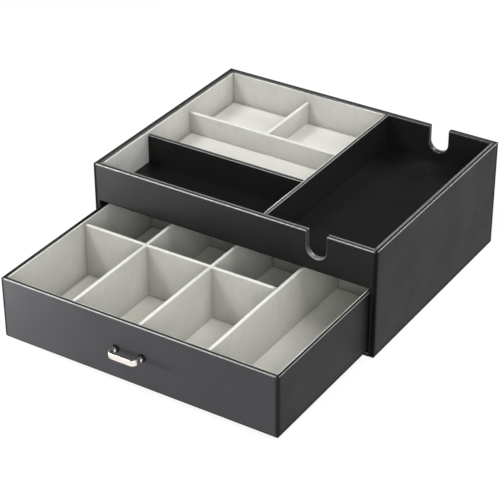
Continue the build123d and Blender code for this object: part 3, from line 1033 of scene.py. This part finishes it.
def paint_corner_shade(name, surface):
    """The surface with painted shade in its corners.

    It falls exponentially with the distance to the nearest other lining or divider that stands out beyond that
    face, and leaves out the tops.
    """
    points, quads, marks = surface
    own_low, own_high = box(name)
    thin = np.argmin(own_high - own_low)
    level = points[:, thin]
    upper = level > (own_low[thin] + own_high[thin]) / 2
    nearest = np.full(len(points), np.inf)
    in_drawer = (*DRAWER_LININGS, *LONG_DIVIDERS, "drawer_cross_divider")
    in_trays = (*TRAY_LININGS, *TRAY_DIVIDERS, "glasses_divider_cover")
    for other in in_drawer if name in in_drawer else in_trays:
        low, high = box(other)
        beyond = np.where(upper, high[thin] - level, level - low[thin])
        gap = np.linalg.norm(np.maximum(np.maximum(low - points, points - high), 0), axis=1)
        nearest = np.where((other != name) & (beyond > MM), np.minimum(nearest, gap), nearest)
    paint_shade(marks, CORNER_SHADE * np.exp(-nearest / CORNER_REACH) * (1 - limited(marks[:, RIM])))
    return points, quads, marks


def suede_sheet(name, body, seed):
    """A suede-covered sheet in place of a CAD sheet, with soft edges and gentle waves.

    Its painted shade falls evenly with the distance from its nearest side edge.
    """
    values = shape()
    low, high = box(name)
    radius = min(values.suede_round, 0.46 * (high - low).min())
    points, quads, marks = rounded_block(low, high, [radius] * 3, step=3 * MM, wave=values.suede_wave, seed=seed)
    sides = [axis for axis in (X, Y) if axis != np.argmin(high - low)]
    from_side = np.minimum(points - low, high - points)[:, sides].min(axis=1)
    paint_shade(marks, 1.2 - from_side / (3 * MM))
    lay_suede(name, (points, quads, marks), body)


class TrayLiningsMaker(bpy.types.Operator):
    """Line the walls and the floor of the lined trays with suede"""

    bl_idname = "valet_box.make_tray_linings"
    bl_label = "Tray Linings"

    def execute(self, context):
        for seed, name in enumerate(TRAY_LININGS, 20):
            suede_sheet(name, "casing", seed)
        return {"FINISHED"}


class TrayDividersMaker(bpy.types.Operator):
    """Make the two suede dividers of the lined trays"""

    bl_idname = "valet_box.make_tray_dividers"
    bl_label = "Tray Dividers"

    def execute(self, context):
        for seed, name in enumerate(TRAY_DIVIDERS, 40):
            low, high = box(name)
            thin = np.argmin((high - low)[:Z])
            radii = np.full(3, 0.42 * (high[thin] - low[thin]))
            radii[1 - thin] = 0.4 * MM
            lay_suede(name, rounded_block(low, high, radii, step=3 * MM, wave=0.14 * MM, seed=seed), "casing")
        return {"FINISHED"}


class TrayPadsMaker(bpy.types.Operator):
    """Make the thin leather pads on the floors of the glasses tray and the phone tray"""

    bl_idname = "valet_box.make_tray_pads"
    bl_label = "Tray Pads"

    def execute(self, context):
        for seed, name in enumerate(("glasses_floor_pad", "phone_tray_pad"), 50):
            low, high = box(name)
            points, quads, marks = rounded_block(low, high, [0.45 * MM] * 3, wave=0.06 * MM, seed=seed)
            # The top rises by the crown, times 1 less the fourth power of the place from -1 to 1, both ways
            place = 2 * (points - low) / (high - low) - 1
            rise = shape().pad_crown * (1 - place[:, X] ** 4) * (1 - place[:, Y] ** 4)
            points[:, Z] += np.where(place[:, Z] > 0, rise, 0)
            # The pads get three tenths of the painted highlight, rim tone and painted shade
            surface = points, quads, 0.3 * marks
            pad = make_piece(name + "_leather", surface, "Pad Leather", "casing", name)
        return {"FINISHED"}


class DrawerWallsMaker(bpy.types.Operator):
    """Wrap the drawer's four walls in leather"""

    bl_idname = "valet_box.make_drawer_walls"
    bl_label = "Drawer Walls"

    def execute(self, context):
        for name in ("drawer_left", "drawer_right"):
            wrap(name, side_wall(name, "drawer_front", "drawer_back", "drawer_front_board"), "drawer")
        # The drawer front gets the leather painted lighter; the other walls get the casing leather
        for name, way, material in (("drawer_front", 1, "Drawer Leather"), ("drawer_back", -1, "Casing Leather")):
            wrap(name, end_wall(name, name + "_board", "drawer_left", way), "drawer", material)
        return {"FINISHED"}


class DrawerLiningsMaker(bpy.types.Operator):
    """Line the drawer's walls and floor with suede"""

    bl_idname = "valet_box.make_drawer_linings"
    bl_label = "Drawer Linings"

    def execute(self, context):
        for seed, name in enumerate(DRAWER_LININGS, 60):
            suede_sheet(name, "drawer", seed)
        return {"FINISHED"}


def lap_slot(low, high, depth):
    """The slot where a divider laps another that fills these places."""
    return (low + high) / 2, (high - low) / 2 - PRESS, depth, CORNER, MOUTH


class DrawerDividersMaker(bpy.types.Operator):
    """Make the drawer's dividers: three from front to back, and one across that laps with two of them"""

    bl_idname = "valet_box.make_drawer_dividers"
    bl_label = "Drawer Dividers"

    def execute(self, context):
        cross_low, cross_high = box("drawer_cross_divider")
        lap = (cross_low[Z] + cross_high[Z]) / 2
        cross_slots = []
        for name in LONG_DIVIDERS:
            low, high = box(name)
            slots = []
            if low[X] < cross_high[X] - PRESS:
                slots.append(lap_slot(cross_low[Y], cross_high[Y], high[Z] - lap))
                cross_slots.append(lap_slot(low[X], high[X], lap - cross_low[Z]))
            self.make(name, Y, slots, ())
        self.make("drawer_cross_divider", X, (), cross_slots)
        return {"FINISHED"}

    def make(self, name, along, top_cuts, bottom_cuts):
        """A divider along one axis, with slots in its upper or lower edge.

        It sways by a sum of sine waves, which grows above its foot as the sine of a quarter turn.
        """
        low, high = box(name)
        thin = 1 - along
        thickness = high[thin] - low[thin]
        across, depth, height, quads, marks = wall(
            low[along], high[along], low[Z], high[Z], thickness, 0.42 * thickness, 0.3 * MM, top_cuts, bottom_cuts,
            step=2.5 * MM, rows=18)
        points = np.empty((len(across), 3))
        points[:, along], points[:, thin], points[:, Z] = across, low[thin] + depth, height
        sway = waves(points * np.array([1, 1, 0.4]), 0.16 * MM, 60 * MM, len(name) + along)
        points[:, thin] += sway * np.sin(limited((height - low[Z]) / (high[Z] - low[Z])) * np.pi / 2)
        lay_suede(name, (points, quads, marks), "drawer")


# Radii of the bar's foot and of the collar's bore, and the collar's rounding, in shares of its radius or thickness
NECK, BORE, COLLAR_ROUND = 0.66, 0.69, 0.7

# How wide the lip of a collar's bore is, how deep a foot stands in the leather, and where the bar grows flat
LIP = 0.25 * MM
ROOT = 0.3 * MM
FLATTENING = 2.2 * MM


class PullMaker(bpy.types.Operator):
    """Make the nickel bow pull and the collars at its two feet"""

    bl_idname = "valet_box.make_pull"
    bl_label = "Pull"

    def execute(self, context):
        low, high = box("pull_collars")
        radius, thickness, middle = (high[Z] - low[Z]) / 2, high[Y] - low[Y], (low[Z] + high[Z]) / 2
        feet = low[X] + radius, high[X] - radius
        bow = self.bow(*feet, high[Y], radius * NECK)
        make_piece("pull_bow", bow, "Polished Nickel", "drawer", "pull_handle")
        collars = joined(*(self.collar(foot, high[Y], middle, radius, thickness) for foot in feet))
        # The collars are painted near black, for the dark leather that they reflect
        make_piece("pull_feet", collars, "Black Nickel", "drawer", "pull_collars")
        dress("Screw Steel", "pull_screws")
        return {"FINISHED"}

    def bow(self, left, right, face, foot_radius):
        """A bar carried from one foot to the other: out, round a quarter turn, across, round again and back.

        Its section is a superellipse: along the angle t it reaches the half sizes, times the cosine or sine of t,
        over the nth root of the sum of their nth powers. From foot to bar, n goes from 2, round, to 3, flat.
        """
        values = shape()
        low, high = box("pull_handle")
        half_bar, half_height = values.bar_thickness / 2, (high[Z] - low[Z]) / 2
        bend = values.bar_bend
        front = low[Y] + half_bar
        out = np.linspace(0, 1, 22)[:, None]
        turn = np.linspace(0, np.pi / 2, 15)[1:, None]
        foot, knee = np.array([[left, face + ROOT], [left, front + bend]])
        curve = [left + bend, front + bend] - bend * np.concatenate([np.cos(turn), np.sin(turn)], axis=1)
        leg = np.concatenate([foot + (knee - foot) * out, curve])
        across = np.linspace(left + bend, right - bend, 40)[1:-1, None]
        mirrored = (leg * [-1, 1] + [left + right, 0])[::-1]
        line = np.concatenate([leg, across * [1, 0] + [0, front], mirrored])
        heading = np.concatenate([0 * out, turn]) - np.pi / 2
        heading = np.concatenate([heading, 0 * across, -heading[::-1]])
        flat = limited((face - line[:, 1:] - FLATTENING) / FLATTENING)
        flat = flat * flat * (3 - 2 * flat)
        power = 2 + flat
        angles = np.linspace(0, 2 * np.pi, 73)[:-1]
        cos, sin = np.cos(angles), np.sin(angles)
        bulge = (np.abs(cos) ** power + np.abs(sin) ** power) ** (-1 / power)
        side = bulge * cos * (foot_radius + (half_bar - foot_radius) * flat)
        rise = bulge * sin * (foot_radius + (half_height - foot_radius) * flat)
        x = line[:, :1] + np.sin(heading) * side
        y = line[:, 1:] - np.cos(heading) * side
        points = np.stack([x, y, (low[Z] + high[Z]) / 2 + rise], axis=-1).reshape(-1, 3)
        marks = np.zeros((len(points), 3))
        marks[:, EDGE] = ((2 * np.abs(cos * sin)) ** 2 * flat).ravel()
        return points, tube_quads(*x.shape), marks

    def collar(self, x, face, z, radius, thickness):
        """A collar turned round a foot: its profile rises in a quarter round and falls to its bore."""
        turn = np.linspace(0, np.pi / 2, 9)
        bend, bore = thickness * COLLAR_ROUND, radius * BORE
        outer = np.stack([radius - bend + bend * np.cos(turn), thickness - bend + bend * np.sin(turn)], axis=1)
        inner = np.stack([bore + LIP * (1 - np.sin(turn)), thickness - LIP * (1 - np.cos(turn))], axis=1)
        reach, rise = np.concatenate([[[radius, 0.0]], outer, inner, [[bore, 0.0]]]).T
        angles = np.linspace(0, 2 * np.pi, 65)[:-1, None]
        places = x + np.cos(angles) * reach, face - rise + 0 * angles, z + np.sin(angles) * reach
        points = np.stack(places, axis=-1)
        rings, count = points.shape[:2]
        points = points.reshape(-1, 3)
        quads = grid_quads(rings + 1, count, wrap=True) % len(points)
        return points, outward(points, quads), np.zeros((len(points), 3))


class BoardsMaker(bpy.types.Operator):
    """Finish the boards inside the wraps and the sheet under the drawer"""

    bl_idname = "valet_box.finish_boards"
    bl_label = "Boards"

    def execute(self, context):
        boards = (
            "left_side", "right_side", "back", "front_fascia", "partition", "glasses_divider", "drawer_left",
            "drawer_right", "drawer_front", "drawer_back", "drawer_bottom")
        dress("Fibreboard", *(name + "_board" for name in boards))
        dress("Backing Paper", "drawer_underside_sheet")
        return {"FINISHED"}


MAKERS = (
    StageMaker, CasingWallsMaker, BaseMaker, LeatherDividersMaker, TrayLiningsMaker, TrayDividersMaker,
    TrayPadsMaker, DrawerWallsMaker, DrawerLiningsMaker, DrawerDividersMaker, PullMaker, BoardsMaker)


class ValetBoxPanel(bpy.types.Panel):
    """Lists the steps that finish the valet box"""

    bl_idname = "VIEW3D_PT_valet_box"
    bl_label = "Valet Box"
    bl_space_type = "VIEW_3D"
    bl_region_type = "UI"
    bl_category = "Valet Box"

    def draw(self, context):
        for maker in MAKERS:
            self.layout.operator(maker.bl_idname)


GROUPS_OF_VALUES = {
    "valet_box_shape": ValetBoxShape,
    "valet_box_finish": ValetBoxFinish,
    "valet_box_stage": ValetBoxStage,
}


def register():
    for made in (*GROUPS_OF_VALUES.values(), *MAKERS, ValetBoxPanel):
        bpy.utils.register_class(made)
    for name, made in GROUPS_OF_VALUES.items():
        setattr(bpy.types.Scene, name, PointerProperty(type=made))


def unregister():
    for name in GROUPS_OF_VALUES:
        delattr(bpy.types.Scene, name)
    for made in (ValetBoxPanel, *reversed(MAKERS), *GROUPS_OF_VALUES.values()):
        bpy.utils.unregister_class(made)


def main():
    """Registers the add-on and makes every piece in order."""
    register()
    for maker in MAKERS:
        group, name = maker.bl_idname.split(".")
        getattr(getattr(bpy.ops, group), name)()


if __name__ == "__main__":
    main()
